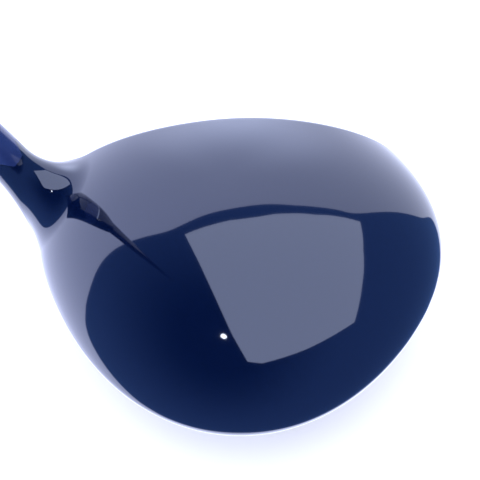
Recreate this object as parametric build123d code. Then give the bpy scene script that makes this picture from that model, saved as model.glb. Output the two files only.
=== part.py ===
"""Golf driver, right-handed, in its address pose, in millimetres.

+Z is up, the face looks along -Y, the toe is towards -X and the heel towards +X.
The origin is where the shaft's axis meets the ground.
Stations along the shaft's axis are distances from the origin.
"""

from build123d import *
import os
from math import sin, cos, tan, pi, radians

# Club
CLUB_LENGTH = 1155.7  # 45.5 in, along the shaft's axis
LIE_ANGLE = 61.0
LOFT_ANGLE = 10.0

# Head: an egg-shaped shell, cut off in front by the face's sphere
HEAD_CENTRE_X = -36.0
HEAD_CENTRE_Y = 19.0
PLAN_RADII = [59.0, 56.7, 61.8, 68.0, 67.5, 65.9, 65.6, 62.8, 64.9, 66.6, 64.2, 64.0]  # every 30 deg from the heel
RIM_HEIGHT = 28.0  # widest level, above the ground at the head's centre
RIM_SLOPE_BACK = -0.057
RIM_SLOPE_HEEL = -0.036
CROWN_HEIGHT = 59.2
CROWN_SHAPE = (2.29, 1.62)  # plan and height exponents
SOLE_SHAPE = (2.2, 1.7)
FACE_CENTRE = (HEAD_CENTRE_X, -15.2, 30.0)
FACE_RADIUS = 300.0  # bulge and roll
FACE_EDGE_RADIUS = 4.0
FACE_THICKNESS = 3.1
FACE_INSERT_SIZE = (88.0, 40.0)
SCORE_LINE_COUNT = 7
SCORE_LINE_PITCH = 4.2
SCORE_LINE_SECTION = 0.6
SCORE_LINE_DEPTH = 0.35
SCORE_LINE_INNER_END = 11.0
SCORE_LINE_OUTER_END = 34.0  # of the middle line; the others are shorter
CROWN_THICKNESS = 1.0
CROWN_EDGE_LIFT = 1.5  # of the crown's lower edge above the widest level
CROWN_FRONT_DEPTH = 7.0  # of the crown's front edge behind the face
CROWN_HOSEL_CLEARANCE = 25.0  # radius around the shaft's axis that belongs to the body
LEDGE_THICKNESS = 0.9
LEDGE_WIDTH = 8.0
SIDE_THICKNESS = 1.3
SOLE_THICKNESS = 1.4
BODY_FACE_THICKNESS = 2.4
PANEL_THICKNESS = 0.8
PANEL_CORNER_RADIUS = 7.0
PANEL_PORT_MARGIN = 1.4
CUTTER_SIZE = 300.0  # wider than the head

# Hosel and adaptor, as stations along the shaft's axis
HOSEL_RADIUS = 6.7
HOSEL_TOP = 66.5
NECK_FLARE_TOP = 63.0  # the flare towards the heel starts here and grows downwards
NECK_FLARE_ANGLE = -50.0  # its direction, from straight behind the hosel
NECK_FLARE_GROWTH = 0.0135
NECK_FLARE_POWER = 1.8
NECK_BLEND_RADIUS = 12.0
HEEL_SECTIONS = ((27.0, 6.2), (21.0, 3.5), (15.0, 0.5))  # (station, flare) where the heel rounds off
HOSEL_BORE_RADIUS = 5.2
SHELF_TOP = 25.5
SHELF_BOTTOM = 22.5
SHELF_HOLE_RADIUS = 2.9
PORT_RADIUS = 4.8
TAB_COUNT = 4
TAB_ANGLE = 51.0  # of the first tab, from straight behind the hosel
TAB_LENGTH = 4.2
TAB_END_HALF = 2.2
TAB_ROOT_HALF = 4.4
TAB_CORNER = 1.2
SLEEVE_BOTTOM = 40.5
SLEEVE_TOP = 74.0
SLEEVE_CLEARANCE = 0.05
TAB_CLEARANCE = 0.08
THREAD_DEPTH = 9.0
TRIM_RING_TOP = 75.2
FERRULE_TOP = 98.0

# Screws
M5_RADIUS = 2.45
THREAD_CLEARANCE = 0.08
SCREW_HEAD_RADIUS = 4.2
SCREW_HEAD_HEIGHT = 3.9
WASHER_THICKNESS = 0.6
SCREW_END = 48.8
RETAINER_STATIONS = (38.0, 39.5)
TORX_RADIUS = 1.7

# Weights: (port centre x, y), disc radius, disc thickness
REAR_PORT = (-36.0, 62.0)
REAR_WEIGHT_RADIUS = 10.0
REAR_WEIGHT_THICKNESS = 6.0
FRONT_PORT = (-36.0, 4.0)
FRONT_WEIGHT_RADIUS = 7.0
FRONT_WEIGHT_THICKNESS = 5.0
WEIGHT_RECESS = 0.6  # below the sole's surface at the port's centre
PORT_CLEARANCE = 0.15
PORT_WALL = 2.6
GASKET_THICKNESS = 0.8
WEIGHT_SCREW_LENGTH = 4.2  # of thread below the weight
WEIGHT_SEAT_DEPTH = 3.2  # of the screw head's seat in the weight
EDGE_CHAMFER = 0.6

# Shaft and grip
SHAFT_BOTTOM = 51.5
SHAFT_TIP_RADIUS = 4.25  # 0.335 in tip
SHAFT_BUTT_RADIUS = 7.62  # 0.600 in butt
SHAFT_TIP_PARALLEL_END = 124.0
SHAFT_BUTT_PARALLEL_START = 960.0
SHAFT_TIP_BORE = 2.1
SHAFT_BUTT_BORE = 6.7
GRIP_MOUTH = 888.0
GRIP_MOUTH_RADIUS = 8.4
GRIP_BUTT_RADIUS = 13.3
TAPE_THICKNESS = 0.3
GRIP_MOUTH_LIP = 5.0  # of the grip in front of the tape
GRIP_CAP_THICKNESS = 4.5
VENT_RADIUS = 1.5

AXIS = Vector(cos(radians(LIE_ANGLE)), 0, sin(radians(LIE_ANGLE)))
ROUND_SECTION_POINTS = 36
EDGE_FRACTIONS = (0.12, 0.3, 0.5, 0.7, 0.85, 0.95, 0.995)


# ---------------------------------------------------------------- helpers

def shaft_plane(station):
    """Plane across the shaft's axis at a station, its x pointing straight behind the club."""
    return Plane(origin=AXIS * station, x_dir=(0, 1, 0), z_dir=AXIS)


def turned(outline, plane):
    """Solid of revolution about a plane's z axis, from (radius, height) corners."""
    section = make_face(Polyline(*[(radius, 0, height) for radius, height in outline], close=True))
    return plane.location * revolve(section, Axis.Z)


def tube(inner, outer, bottom, top, plane):
    """Straight tube, or a rod when the inner radius is zero."""
    return turned([(inner, bottom), (outer, bottom), (outer, top), (inner, top)], plane)


def torx_recess(radius, depth, plane):
    """Six-lobed driving recess, sunk from the plane along its z axis."""
    core = Cylinder(radius * 0.82, depth, align=(Align.CENTER, Align.CENTER, Align.MIN))
    lobe = Cylinder(radius * 0.3, depth, align=(Align.CENTER, Align.CENTER, Align.MIN))
    lobes = [Rot(0, 0, 60 * k) * Pos(radius * 0.8, 0, 0) * lobe for k in range(6)]
    return plane.location * (core + lobes)


# ---------------------------------------------------------------- head surface

def plan_radius(angle):
    """Radius of the head's plan, joined smoothly through the twelve driving radii."""
    count = len(PLAN_RADII)
    total = 0.0
    for k, radius in enumerate(PLAN_RADII):
        turn = angle - 2 * pi * k / count
        if abs(sin(turn / 2)) < 1e-9:
            return radius
        total += radius * sin(count * turn / 2) / (count * tan(turn / 2))
    return total


def rim_height(x, y):
    return RIM_HEIGHT + RIM_SLOPE_BACK * (y - HEAD_CENTRE_Y) + RIM_SLOPE_HEEL * (x - HEAD_CENTRE_X)


def head_ring(scale, rise, pole, wall):
    """Closed curve at one level: rise goes from 0 at the rim to 1 at the pole's height."""
    points = []
    for k in range(ROUND_SECTION_POINTS):
        angle = 2 * pi * k / ROUND_SECTION_POINTS
        radius = scale * (plan_radius(angle) - wall)
        x = HEAD_CENTRE_X + radius * cos(angle)
        y = HEAD_CENTRE_Y + radius * sin(angle)
        points.append(Vector(x, y, rim_height(x, y) * (1 - rise) + pole * rise))
    return Wire([Edge.make_spline(points, periodic=True)])


def egg(side_wall=0.0, crown_wall=0.0, sole_wall=0.0):
    """The head's egg shape, or its inside when walls are given."""
    crown = CROWN_HEIGHT - crown_wall
    plan_power, height_power = SOLE_SHAPE
    sections = [Vertex(HEAD_CENTRE_X, HEAD_CENTRE_Y, sole_wall)]
    for rise in reversed(EDGE_FRACTIONS):
        scale = (1 - rise**height_power) ** (1 / plan_power)
        sections.append(head_ring(scale, rise, sole_wall, side_wall))
    sections.append(head_ring(1, 0, crown, side_wall))
    plan_power, height_power = CROWN_SHAPE
    for rise in EDGE_FRACTIONS:
        scale = (1 - rise**height_power) ** (1 / plan_power)
        sections.append(head_ring(scale, rise, crown, side_wall))
    sections.append(Vertex(HEAD_CENTRE_X, HEAD_CENTRE_Y, crown))
    return Solid.make_loft(sections)


FACE_NORMAL = Vector(0, -cos(radians(LOFT_ANGLE)), sin(radians(LOFT_ANGLE)))
FACE_PLANE = Plane(origin=FACE_CENTRE, x_dir=(1, 0, 0), z_dir=FACE_NORMAL)


def face_ball(depth=0.0):
    """Ball whose front is the face's surface, or a surface that deep behind it."""
    centre = Vector(*FACE_CENTRE) - FACE_NORMAL * FACE_RADIUS
    return Pos(*centre) * Sphere(FACE_RADIUS - depth)


def neck_flare(station):
    """How far the neck stands out towards the heel beyond the plain hosel."""
    return NECK_FLARE_GROWTH * max(NECK_FLARE_TOP - station, 0) ** NECK_FLARE_POWER


def neck():
    """Lopsided neck: round sections that grow and shift towards the heel on their way down."""
    stations = (HOSEL_TOP, NECK_FLARE_TOP, 57.0, 51.0, 45.0, 39.0, 33.0)
    sections = [(station, neck_flare(station)) for station in stations] + list(HEEL_SECTIONS)
    rings = []
    for station, flare in sections:
        across = shaft_plane(station)
        turn = radians(NECK_FLARE_ANGLE)
        shift = (across.x_dir * cos(turn) + across.y_dir * sin(turn)) * (0.6 * flare)
        plane = Plane(origin=across.origin + shift, x_dir=across.x_dir, z_dir=across.z_dir)
        rings.append(Wire([Edge.make_circle(HOSEL_RADIUS + 0.4 * flare, plane)]))
    return Solid.make_loft(rings)


def outer_head():
    """Egg, rounded face edge and neck, with a hollow blend where the neck meets the egg."""
    head = (egg() & face_ball()).solids()[0]
    front_edges = [edge for edge in head.edges() if edge.length > 100]
    head = head.fillet(FACE_EDGE_RADIUS, front_edges)
    joined = (head + neck()).solids()[0]
    seams = [edge for edge in joined.edges() if edge.length > 20 and is_neck_seam(edge)]
    return joined.fillet(NECK_BLEND_RADIUS, seams)


def is_neck_seam(edge):
    """True for an edge that stays near the hosel's axis, between its two ends."""
    for share in (0.1, 0.5, 0.9):
        point = edge @ share
        station = point.dot(AXIS)
        if not 16 < station < 58 or (point - AXIS * station).length > 16:
            return False
    return True


# ---------------------------------------------------------------- sole ports

def sole_height(x, y):
    """Height of the outer sole under a point, by the egg's own formula."""
    dx = x - HEAD_CENTRE_X
    dy = y - HEAD_CENTRE_Y
    reach = (dx * dx + dy * dy) ** 0.5
    angle = Vector(1, 0, 0).get_signed_angle(Vector(dx, dy, 0), Vector(0, 0, 1))
    plan_power, height_power = SOLE_SHAPE
    scale = reach / plan_radius(radians(angle))
    return rim_height(x, y) * (1 - (1 - scale**plan_power) ** (1 / height_power))


def port_plane(port):
    """Plane on the sole at a port, its z axis pointing into the head."""
    x, y = port
    step = 1.0
    slope_x = (sole_height(x + step, y) - sole_height(x - step, y)) / (2 * step)
    slope_y = (sole_height(x, y + step) - sole_height(x, y - step)) / (2 * step)
    inward = Vector(-slope_x, -slope_y, 1)
    return Plane(origin=(x, y, sole_height(x, y)), x_dir=(1, 0, -slope_x * -1), z_dir=inward)


def port_depth(thickness):
    return WEIGHT_RECESS + thickness + GASKET_THICKNESS


def port_boss(port, radius, thickness):
    """Cup inside the head that holds a weight, with a solid floor for the screw."""
    depth = port_depth(thickness) + WEIGHT_SCREW_LENGTH + 1.5
    return tube(0, radius + PORT_WALL, -6, depth, port_plane(port))


def port_pocket(port, radius, thickness):
    """What the weight and its screw need out of the boss."""
    plane = port_plane(port)
    depth = port_depth(thickness)
    pocket = tube(0, radius + PORT_CLEARANCE, -12, depth, plane)
    thread = tube(0, M5_RADIUS + THREAD_CLEARANCE, depth - 1, depth + WEIGHT_SCREW_LENGTH + 0.5, plane)
    return pocket + thread


def weight_disc(port, radius, thickness):
    """Weight with a chamfered rim and a countersunk, stepped hole for its captive screw."""
    low = WEIGHT_RECESS
    high = low + thickness
    hole = M5_RADIUS + THREAD_CLEARANCE
    seat = SCREW_HEAD_RADIUS + THREAD_CLEARANCE
    step = low + WEIGHT_SEAT_DEPTH
    outline = [(seat, low), (radius - EDGE_CHAMFER, low), (radius, low + EDGE_CHAMFER), (radius, high)]
    outline += [(hole, high), (hole, step), (seat, step)]
    return turned(outline, port_plane(port))


def weight_gasket(port, radius, thickness):
    low = WEIGHT_RECESS + thickness
    return tube(radius - 3.4, radius - 0.4, low, low + GASKET_THICKNESS, port_plane(port))


def weight_screw(port, thickness):
    plane = port_plane(port)
    low = WEIGHT_RECESS + 0.4
    seat = WEIGHT_RECESS + WEIGHT_SEAT_DEPTH
    end = port_depth(thickness) + WEIGHT_SCREW_LENGTH
    outline = [(0, low), (SCREW_HEAD_RADIUS - 0.4, low), (SCREW_HEAD_RADIUS, low + 0.4), (SCREW_HEAD_RADIUS, seat)]
    outline += [(M5_RADIUS, seat), (M5_RADIUS, end - 0.5), (M5_RADIUS - 0.5, end), (0, end)]
    recess_plane = Plane(origin=plane.origin + plane.z_dir * (low - 0.01), x_dir=plane.x_dir, z_dir=plane.z_dir)
    return turned(outline, plane) - torx_recess(TORX_RADIUS, 2.0, recess_plane)


# ---------------------------------------------------------------- head pieces

def upper_block(plane):
    """Everything above a plane, as far as the head needs."""
    return plane.location * Box(CUTTER_SIZE, CUTTER_SIZE, CUTTER_SIZE, align=(Align.CENTER, Align.CENTER, Align.MIN))


def crown_lid(outer):
    """Whole region of the head that the crown covers."""
    above_rim = Plane(
        origin=(HEAD_CENTRE_X, HEAD_CENTRE_Y, RIM_HEIGHT + CROWN_EDGE_LIFT),
        x_dir=(1, 0, RIM_SLOPE_HEEL),
        z_dir=(-RIM_SLOPE_HEEL, -RIM_SLOPE_BACK, 1),
    )
    hosel_clear = tube(0, CROWN_HOSEL_CLEARANCE, SHELF_BOTTOM, CUTTER_SIZE, shaft_plane(0))
    return (outer & upper_block(above_rim) & face_ball(CROWN_FRONT_DEPTH)) - hosel_clear


def crown_window():
    """Opening in the body under the crown, inside the glued ledge."""
    side = egg(side_wall=CROWN_THICKNESS + LEDGE_WIDTH, crown_wall=-LEDGE_WIDTH)
    level = Plane(origin=(HEAD_CENTRE_X, HEAD_CENTRE_Y, RIM_HEIGHT + CROWN_EDGE_LIFT + LEDGE_WIDTH))
    front = face_ball(CROWN_FRONT_DEPTH + LEDGE_WIDTH)
    hosel_clear = tube(0, CROWN_HOSEL_CLEARANCE + LEDGE_WIDTH, SHELF_BOTTOM, CUTTER_SIZE, shaft_plane(0))
    return (side & upper_block(level) & front) - hosel_clear


def face_prism():
    """Rounded outline of the face insert, along the face's normal."""
    width, height = FACE_INSERT_SIZE
    outline = FACE_PLANE * SlotOverall(width, height)
    return extrude(outline, amount=12, both=True)


def panel_region():
    """Plan of the sole's trim panel: a rounded shield behind the front weight."""
    left, right, front, back = -86.0, 8.0, 18.0, 70.0
    corners = [(left, front + 8), (-36, front), (right - 6, front + 8), (right - 12, 44), (-36, back), (left + 8, 52)]
    outline = fillet(make_face(Polyline(*corners, close=True)).vertices(), PANEL_CORNER_RADIUS)
    block = extrude(Pos(0, 0, -LEDGE_WIDTH) * outline, amount=RIM_HEIGHT)
    margin = REAR_WEIGHT_RADIUS + PORT_WALL + PANEL_PORT_MARGIN
    return block - tube(0, margin, -RIM_HEIGHT, RIM_HEIGHT, port_plane(REAR_PORT))


def tab_outline(half_root, half_end, length, corner):
    """Trapezoid with a rounded end, root upwards at y = 0."""
    corners = [(-half_root, 2), (-half_root, 0), (-half_end, -length), (half_end, -length), (half_root, 0), (half_root, 2)]
    face = make_face(Polyline(*corners, close=True))
    ends = [vertex for vertex in face.vertices() if vertex.Y < -length + 0.01]
    return fillet(ends, corner)


def hosel_tabs(clearance):
    """Four tabs around the axis, hanging from the hosel's rim level."""
    outline = tab_outline(TAB_ROOT_HALF + clearance, TAB_END_HALF + clearance, TAB_LENGTH + clearance, TAB_CORNER)
    tabs = []
    for k in range(TAB_COUNT):
        angle = radians(TAB_ANGLE + 360 * k / TAB_COUNT)
        outward = Vector(cos(angle), sin(angle), 0)
        plane = Plane(origin=outward * 4.0, x_dir=outward.cross(Vector(0, 0, 1)) * -1, z_dir=outward)
        tabs.append(extrude(plane * outline, amount=6))
    return shaft_plane(HOSEL_TOP).location * Compound(children=tabs)


def head_body(outer, crown):
    """Cast body: skirt, sole, ledges, hosel and weight cups."""
    cavity = egg(SIDE_THICKNESS, CROWN_THICKNESS + LEDGE_THICKNESS, SOLE_THICKNESS)
    cavity &= face_ball(BODY_FACE_THICKNESS)
    cavity -= tube(0, HOSEL_RADIUS, 0, HOSEL_TOP, shaft_plane(0))
    cavity -= port_boss(REAR_PORT, REAR_WEIGHT_RADIUS, REAR_WEIGHT_THICKNESS)
    cavity -= port_boss(FRONT_PORT, FRONT_WEIGHT_RADIUS, FRONT_WEIGHT_THICKNESS)
    body = outer - cavity
    body -= crown_window()
    body -= crown
    body -= face_prism() & (face_ball(-5) - face_ball(FACE_THICKNESS))
    hosel_bore = tube(0, HOSEL_BORE_RADIUS, SHELF_TOP, HOSEL_TOP + 1, shaft_plane(0))
    shelf_hole = tube(0, SHELF_HOLE_RADIUS, SHELF_BOTTOM - 1, SHELF_TOP + 1, shaft_plane(0))
    screw_port = tube(0, PORT_RADIUS, -5, SHELF_BOTTOM, shaft_plane(0))
    body -= hosel_bore + shelf_hole + screw_port
    body -= port_pocket(REAR_PORT, REAR_WEIGHT_RADIUS, REAR_WEIGHT_THICKNESS)
    body -= port_pocket(FRONT_PORT, FRONT_WEIGHT_RADIUS, FRONT_WEIGHT_THICKNESS)
    body -= hosel_tabs(TAB_CLEARANCE)
    return body


def face_insert():
    """Curved striking plate with two groups of horizontal score lines."""
    plate = (face_ball() - face_ball(FACE_THICKNESS)) & face_prism()
    lines = []
    for k in range(SCORE_LINE_COUNT):
        height = SCORE_LINE_PITCH * (k - (SCORE_LINE_COUNT - 1) / 2)
        reach = SCORE_LINE_OUTER_END - abs(height) * 0.6
        for side in (-1, 1):
            line = Box(reach - SCORE_LINE_INNER_END, SCORE_LINE_SECTION, 12)
            middle = side * (reach + SCORE_LINE_INNER_END) / 2
            lines.append(FACE_PLANE.location * Pos(middle, height, 0) * line)
    grooves = Compound(children=lines) - face_ball(SCORE_LINE_DEPTH)
    return plate - grooves


# ---------------------------------------------------------------- adaptor and screws

def shaft_sleeve():
    """Metal adaptor: collar, tabs, shank, bore for the shaft and thread for the screw."""
    shank = HOSEL_BORE_RADIUS - SLEEVE_CLEARANCE
    thread = M5_RADIUS + THREAD_CLEARANCE
    bore = SHAFT_TIP_RADIUS + 0.05
    floor = SLEEVE_BOTTOM + THREAD_DEPTH
    outline = [(thread, SLEEVE_BOTTOM), (shank - 0.4, SLEEVE_BOTTOM), (shank, SLEEVE_BOTTOM + 0.4)]
    outline += [(shank, HOSEL_TOP), (HOSEL_RADIUS, HOSEL_TOP), (HOSEL_RADIUS, SLEEVE_TOP)]
    outline += [(bore, SLEEVE_TOP), (bore, floor), (thread, floor)]
    wall = tube(shank - 0.3, HOSEL_RADIUS, HOSEL_TOP - TAB_LENGTH - 1, HOSEL_TOP + 1, shaft_plane(0))
    tabs = [tab & wall for tab in hosel_tabs(0).solids()]
    return turned(outline, shaft_plane(0)) + tabs


def hosel_screw():
    low = SHELF_BOTTOM - WASHER_THICKNESS - SCREW_HEAD_HEIGHT
    seat = SHELF_BOTTOM - WASHER_THICKNESS
    outline = [(0, low), (SCREW_HEAD_RADIUS - 0.4, low), (SCREW_HEAD_RADIUS, low + 0.4), (SCREW_HEAD_RADIUS, seat)]
    outline += [(M5_RADIUS, seat), (M5_RADIUS, SCREW_END - 0.6), (M5_RADIUS - 0.6, SCREW_END), (0, SCREW_END)]
    return turned(outline, shaft_plane(0)) - torx_recess(TORX_RADIUS, 2.4, shaft_plane(low - 0.01))


def screw_washer():
    return tube(M5_RADIUS + 0.05, SCREW_HEAD_RADIUS + 0.1, SHELF_BOTTOM - WASHER_THICKNESS, SHELF_BOTTOM, shaft_plane(0))


def screw_retainer():
    low, high = RETAINER_STATIONS
    return tube(M5_RADIUS + 0.04, 3.9, low, high, shaft_plane(0))


# ---------------------------------------------------------------- ferrule, shaft and grip

def ferrule_ring():
    return tube(SHAFT_TIP_RADIUS + 0.05, HOSEL_RADIUS, SLEEVE_TOP, TRIM_RING_TOP, shaft_plane(0))


def ferrule():
    """Tapered collar, slightly waisted towards its thin upper end."""
    bore = SHAFT_TIP_RADIUS + 0.05
    profile = [(HOSEL_RADIUS, TRIM_RING_TOP), (6.35, 84.0), (5.6, 92.0), (4.75, FERRULE_TOP)]
    side = Spline(*[(radius, 0, station) for radius, station in profile])
    rest = Polyline(side @ 1, (bore, 0, FERRULE_TOP), (bore, 0, TRIM_RING_TOP), side @ 0)
    return shaft_plane(0).location * revolve(make_face(Curve() + [side, rest]), Axis.Z)


def shaft_radius(station):
    """Outside radius of the shaft: parallel tip, long taper, parallel butt."""
    span = SHAFT_BUTT_PARALLEL_START - SHAFT_TIP_PARALLEL_END
    share = min(max((station - SHAFT_TIP_PARALLEL_END) / span, 0), 1)
    return SHAFT_TIP_RADIUS + (SHAFT_BUTT_RADIUS - SHAFT_TIP_RADIUS) * share


SHAFT_TOP = CLUB_LENGTH - GRIP_CAP_THICKNESS - 0.5


def shaft():
    outline = [(SHAFT_TIP_BORE, SHAFT_BOTTOM), (SHAFT_TIP_RADIUS, SHAFT_BOTTOM)]
    outline += [(SHAFT_TIP_RADIUS, SHAFT_TIP_PARALLEL_END), (SHAFT_BUTT_RADIUS, SHAFT_BUTT_PARALLEL_START)]
    outline += [(SHAFT_BUTT_RADIUS, SHAFT_TOP), (SHAFT_BUTT_BORE, SHAFT_TOP)]
    outline += [(SHAFT_BUTT_BORE, SHAFT_BUTT_PARALLEL_START), (SHAFT_TIP_BORE, SHAFT_TIP_PARALLEL_END)]
    return turned(outline, shaft_plane(0))


def tip_weight():
    """Flanged plug in the shaft's tip that sets the swing weight."""
    flange = tube(0, SHAFT_TIP_RADIUS - 0.05, SHAFT_BOTTOM - 1.2, SHAFT_BOTTOM, shaft_plane(0))
    return flange + tube(0, SHAFT_TIP_BORE - 0.05, SHAFT_BOTTOM, SHAFT_BOTTOM + 14, shaft_plane(0))


def grip_tape():
    """Thin build-up tape wound on the shaft under the grip."""
    start = GRIP_MOUTH + GRIP_MOUTH_LIP
    inner = [(shaft_radius(s), s) for s in (start, SHAFT_BUTT_PARALLEL_START, SHAFT_TOP)]
    outer = [(radius + TAPE_THICKNESS, s) for radius, s in reversed(inner)]
    return turned(inner + outer, shaft_plane(0))


def grip():
    """Moulded rubber sleeve, tapering to a rounded mouth; its cap closes the wide end."""
    start = GRIP_MOUTH + GRIP_MOUTH_LIP
    top = CLUB_LENGTH - GRIP_CAP_THICKNESS
    bore = [(shaft_radius(s) + TAPE_THICKNESS, s) for s in (start, SHAFT_BUTT_PARALLEL_START, top)]
    outline = [(GRIP_MOUTH_RADIUS - 0.5, GRIP_MOUTH), (GRIP_MOUTH_RADIUS, GRIP_MOUTH + 1)]
    outline += [(GRIP_BUTT_RADIUS - 0.3, top - 18), (GRIP_BUTT_RADIUS, top - 8), (GRIP_BUTT_RADIUS, top)]
    outline += bore[::-1]
    outline += [(shaft_radius(start), start), (shaft_radius(GRIP_MOUTH) + 0.02, GRIP_MOUTH)]
    return turned(outline, shaft_plane(0))


def grip_cap():
    """Round-edged cap across the grip's wide end, with the vent hole through it."""
    low = CLUB_LENGTH - GRIP_CAP_THICKNESS
    top = CLUB_LENGTH
    outline = [(VENT_RADIUS, low), (GRIP_BUTT_RADIUS, low), (GRIP_BUTT_RADIUS, top - 2.2)]
    outline += [(GRIP_BUTT_RADIUS - 0.6, top - 0.7), (GRIP_BUTT_RADIUS - 2.0, top), (VENT_RADIUS, top)]
    return turned(outline, shaft_plane(0))


# ---------------------------------------------------------------- build

def build():
    outer = outer_head()
    lid = crown_lid(outer)
    crown = lid - egg(side_wall=CROWN_THICKNESS, crown_wall=CROWN_THICKNESS)
    panel_skin = outer - egg(PANEL_THICKNESS, 0, PANEL_THICKNESS)
    panel = panel_region() & panel_skin
    body = head_body(outer, crown) - panel
    return {
        "head_body": body,
        "crown_shell": crown,
        "face_insert": face_insert(),
        "sole_panel": panel,
        "rear_weight": weight_disc(REAR_PORT, REAR_WEIGHT_RADIUS, REAR_WEIGHT_THICKNESS),
        "rear_weight_gasket": weight_gasket(REAR_PORT, REAR_WEIGHT_RADIUS, REAR_WEIGHT_THICKNESS),
        "rear_weight_screw": weight_screw(REAR_PORT, REAR_WEIGHT_THICKNESS),
        "front_weight": weight_disc(FRONT_PORT, FRONT_WEIGHT_RADIUS, FRONT_WEIGHT_THICKNESS),
        "front_weight_gasket": weight_gasket(FRONT_PORT, FRONT_WEIGHT_RADIUS, FRONT_WEIGHT_THICKNESS),
        "front_weight_screw": weight_screw(FRONT_PORT, FRONT_WEIGHT_THICKNESS),
        "shaft_sleeve": shaft_sleeve(),
        "hosel_screw": hosel_screw(),
        "screw_washer": screw_washer(),
        "screw_retainer": screw_retainer(),
        "ferrule_ring": ferrule_ring(),
        "ferrule": ferrule(),
        "shaft": shaft(),
        "tip_weight": tip_weight(),
        "grip_tape": grip_tape(),
        "grip": grip(),
        "grip_cap": grip_cap(),
    }


os.makedirs("parts", exist_ok=True)
for name, shape in build().items():
    solids = shape.solids()
    export_step(solids[0] if len(solids) == 1 else Compound(children=solids), f"parts/{name}.step")
    print(name, len(solids), round(shape.volume))
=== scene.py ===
"""Golf driver in its address pose: lacquered head, adjustable hosel, graphite shaft and rubber grip.

Sizes are in millimetres and become metres where a mesh is made.
"""
from math import cos, pi, radians, sin

import bpy
import numpy as np
from mathutils import Matrix, Vector


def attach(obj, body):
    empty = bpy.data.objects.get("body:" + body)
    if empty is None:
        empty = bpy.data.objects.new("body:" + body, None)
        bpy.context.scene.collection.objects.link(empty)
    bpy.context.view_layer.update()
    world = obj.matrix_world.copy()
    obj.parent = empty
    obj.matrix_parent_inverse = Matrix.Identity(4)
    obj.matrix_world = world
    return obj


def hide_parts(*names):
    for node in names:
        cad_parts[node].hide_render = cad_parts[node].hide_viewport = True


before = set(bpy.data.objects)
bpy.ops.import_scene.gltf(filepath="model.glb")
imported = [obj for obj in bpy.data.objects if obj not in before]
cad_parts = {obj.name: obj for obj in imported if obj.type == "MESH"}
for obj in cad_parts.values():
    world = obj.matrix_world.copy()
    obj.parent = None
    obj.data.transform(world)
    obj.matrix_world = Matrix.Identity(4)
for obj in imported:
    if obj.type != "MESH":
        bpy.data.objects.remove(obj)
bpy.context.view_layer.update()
bpy.ops.object.select_all(action="DESELECT")

MM = 0.001

# Shaft's axis, and the two directions across it
LIE_ANGLE = 61.0
AXIS = np.array([cos(radians(LIE_ANGLE)), 0.0, sin(radians(LIE_ANGLE))])
BEHIND = np.array([0.0, 1.0, 0.0])
ACROSS = np.cross(AXIS, BEHIND)

# Head: egg, face and the regions of its skins
HEAD_CENTRE = (-36.0, 19.0)
# Every 30 degrees, starting at the heel
PLAN_RADII = (59.0, 56.7, 61.8, 68.0, 67.5, 65.9, 65.6, 62.8, 64.9, 66.6, 64.2, 64.0)
RIM_HEIGHT = 28.0
RIM_SLOPE_BACK = -0.057
RIM_SLOPE_HEEL = -0.036
CROWN_HEIGHT = 59.2
CROWN_SHAPE = (2.29, 1.62)
SOLE_SHAPE = (2.2, 1.7)
FACE_CENTRE = np.array([-36.0, -15.2, 30.0])
FACE_LOFT = 10.0
FACE_NORMAL = np.array([0.0, -cos(radians(FACE_LOFT)), sin(radians(FACE_LOFT))])
FACE_RADIUS = 300.0
FACE_EDGE_RADIUS = 4.0
FACE_INSERT_SIZE = (88.0, 40.0)
CROWN_EDGE_LIFT = 1.5
CROWN_FRONT_DEPTH = 7.0
CROWN_HOSEL_CLEARANCE = 25.0
PAINT_EDGE_DROP = 11.0  # of the lacquer's lower edge below the widest level
SKIN_WALL = 1.4
VOXEL_SIZE = 0.9
BORDER_BAND = 1.6  # vertices this near a region's border are slid onto it
BORDER_STRAY = 2.2  # and put back if they have gone further than this
MERGE_DISTANCE = 0.02

# Neck, by height along the shaft's axis
NECK_BLEND_RADIUS = 13.0
NECK_FLARE_TOP = 63.0
NECK_FLARE_GAIN = 0.0135
NECK_FLARE_POWER = 1.8
NECK_FLARE_TURN = -50.0  # direction of the flare, in degrees round the axis
NECK_FLARE_SHIFT = 0.6  # share of the flare that moves the centre; the rest widens the neck
HEEL_END = 15.0
HEEL_END_EDGE = 1.5
HEEL_LENGTH = 18.0  # over which the flare closes towards the heel's end
HEEL_FLARE = (0.5, 6.16)  # at the lower and the upper end of that length
HEEL_SLOPE = (0.5, -0.37)
NECK_ROD_RADIUS = 8.0
NECK_ROD_TOP = 76.0
NECK_SETTLED_TOP = 71.0

# Hosel's rim, bore and notches
HOSEL_RADIUS = 6.7
HOSEL_TOP = 66.5
RIM_BOTTOM = 61.6  # of the straight, notched rim above the flared neck
HOSEL_BORE_RADIUS = 5.2
CORE_BOTTOM = 16.0
CORE_TOP = 60.0
CORE_RADIUS = 5.9
SHELF_BOTTOM = 22.5
SHELF_TOP = 25.5
SHELF_HOLE_RADIUS = 2.9
TAB_COUNT = 4
TAB_FIRST_ANGLE = 51.0
TAB_LENGTH = 4.28
TAB_ROOT_HALF_WIDTH = 4.48
TAB_END_HALF_WIDTH = 2.28
TAB_CORNER = 1.2
TAB_REACH = (4.2, 9.5)  # inner and outer end, from the axis

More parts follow.
